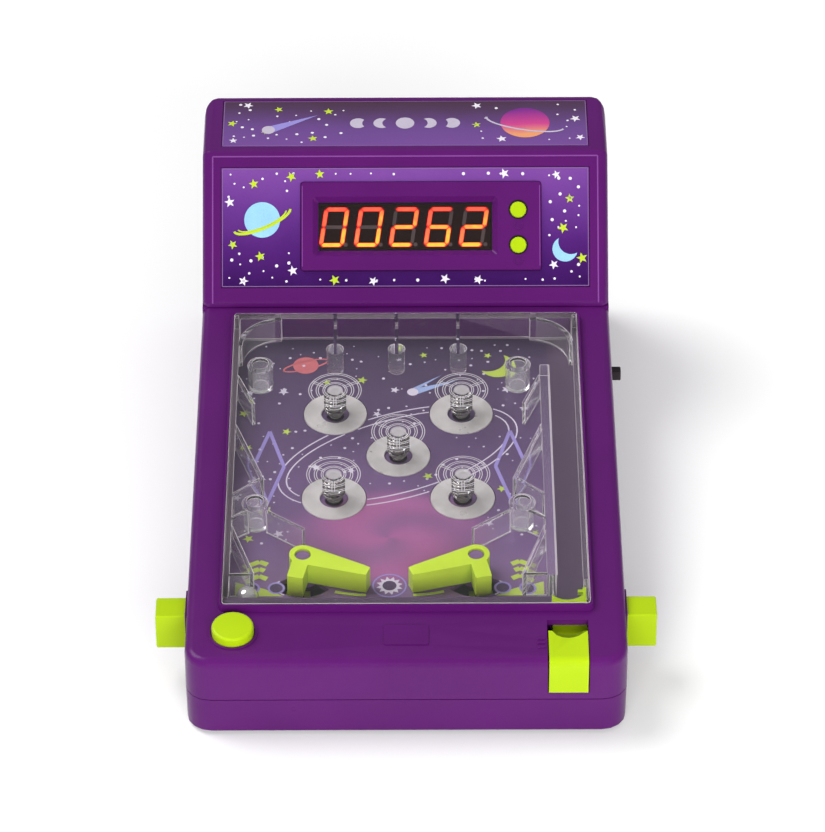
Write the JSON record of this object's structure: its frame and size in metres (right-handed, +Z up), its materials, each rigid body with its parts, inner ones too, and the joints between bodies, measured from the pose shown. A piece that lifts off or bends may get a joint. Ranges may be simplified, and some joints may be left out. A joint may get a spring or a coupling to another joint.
{
  "type": "tabletop pinball game",
  "caption": "Small battery pinball game: sloped plastic case with a clear playfield cover, flippers worked by side buttons, a spring shooter and a raised head with a number display.",
  "frame": {"origin": "centre of the bounding box's footprint, on the table under the rubber feet", "axes": "+X to the player's right, +Y from the player towards the raised head, +Z up"},
  "size_m": [0.1688, 0.2558, 0.0942],
  "materials": {
    "case": "glossy moulded purple plastic",
    "lime": "glossy lime green plastic",
    "clear": "clear polished plastic",
    "tray": "satin grey purple plastic with a printed playfield",
    "steel": "bright steel",
    "black": "black plastic",
    "rubber": "dark rubber",
    "board": "green circuit board",
    "lens": "dark red tinted clear plastic",
    "digits": "dark display block with white segments",
    "label": "printed glossy label",
    "cell": "wrapped cell"
  },
  "bodies": {
    "casing": {"lower_shell": "case", "upper_shell": "case", "head_housing": "case", "battery_door": "case", "clear_cover": "clear", "playfield_tray": "tray", "contact_disc_1": "steel", "contact_disc_2": "steel", "contact_disc_3": "steel", "contact_disc_4": "steel", "contact_disc_5": "steel", "bumper_spring_1": "steel", "bumper_spring_2": "steel", "bumper_spring_3": "steel", "bumper_spring_4": "steel", "bumper_spring_5": "steel", "rocker_pin": "steel", "door_screw": "steel", "battery_contact_left": "steel", "battery_contact_right": "steel", "switch_body": "steel", "case_screw_1": "steel", "case_screw_2": "steel", "case_screw_3": "steel", "case_screw_4": "steel", "speaker": "black", "foot_1": "rubber", "foot_2": "rubber", "foot_3": "rubber", "foot_4": "rubber", "display_board": "board", "main_board": "board", "display_lens": "lens", "digit_block": "digits", "face_label": "label", "top_label": "label", "battery_1": "cell", "battery_2": "cell", "battery_3": "cell"},
    "left_button": {"side_button_left": "lime", "button_spring_left": "steel"},
    "right_button": {"side_button_right": "lime", "button_spring_right": "steel"},
    "left_flipper": {"flipper_left": "lime"},
    "right_flipper": {"flipper_right": "lime"},
    "shooter": {"shooter_lever": "lime", "launch_tip": "lime", "shooter_spring": "steel"},
    "return_button": {"return_button": "lime", "return_spring": "steel"},
    "rocker": {"return_rocker": "black"},
    "ball": {"ball": "steel"},
    "power_button": {"power_button": "lime"},
    "reset_button": {"reset_button": "lime"},
    "switch_knob": {"switch_knob": "black"}
  },
  "joints": [
    {"name": "left_button_press", "type": "slide", "parent": "casing", "child": "left_button", "axis": [1, 0, 0], "range_m": [0, 0.0054], "stiffness_N_per_m": 250, "springref_m": -0.003},
    {"name": "left_flipper_swing", "type": "hinge", "parent": "casing", "child": "left_flipper", "pos_m": [-0.03515, -0.07348, 0.02597], "axis": [0, -0.0872, 0.9962], "range_deg": [0, 40]},
    {"name": "right_button_press", "type": "slide", "parent": "casing", "child": "right_button", "axis": [-1, 0, 0], "range_m": [0, 0.0054], "stiffness_N_per_m": 250, "springref_m": -0.003},
    {"name": "right_flipper_swing", "type": "hinge", "parent": "casing", "child": "right_flipper", "pos_m": [0.02385, -0.07348, 0.02597], "axis": [0, 0.0872, -0.9962], "range_deg": [0, 40]},
    {"name": "shooter_pull", "type": "slide", "parent": "casing", "child": "shooter", "axis": [0, -0.9962, -0.0872], "range_m": [0, 0.012], "stiffness_N_per_m": 150, "springref_m": -0.008},
    {"name": "return_button_press", "type": "slide", "parent": "casing", "child": "return_button", "axis": [0, 0.0872, -0.9962], "range_m": [0, 0.003], "stiffness_N_per_m": 250, "springref_m": -0.004},
    {"name": "return_rocker_tilt", "type": "hinge", "parent": "casing", "child": "rocker", "pos_m": [-0.0536, -0.09545, 0.01893], "axis": [1, 0, 0], "range_deg": [0, 10.6]},
    {"name": "ball_roll", "type": "slide", "parent": "rocker", "child": "ball", "axis": [1, 0, 0], "range_m": [0, 0.098]},
    {"name": "power_button_press", "type": "slide", "parent": "casing", "child": "power_button", "axis": [0, 0.766, -0.6428], "range_m": [0, 0.0008], "stiffness_N_per_m": 400, "springref_m": -0.001},
    {"name": "reset_button_press", "type": "slide", "parent": "casing", "child": "reset_button", "axis": [0, 0.766, -0.6428], "range_m": [0, 0.0008], "stiffness_N_per_m": 400, "springref_m": -0.001},
    {"name": "switch_knob_slide", "type": "slide", "parent": "casing", "child": "switch_knob", "axis": [0, -1, 0], "range_m": [0, 0.004]}
  ],
  "couplings": [
    {"joint": "left_flipper_swing", "follows": "left_button_press", "rad_per_m": 128.8},
    {"joint": "right_flipper_swing", "follows": "right_button_press", "rad_per_m": 128.8},
    {"joint": "return_rocker_tilt", "follows": "return_button_press", "rad_per_m": 61.3}
  ]
}
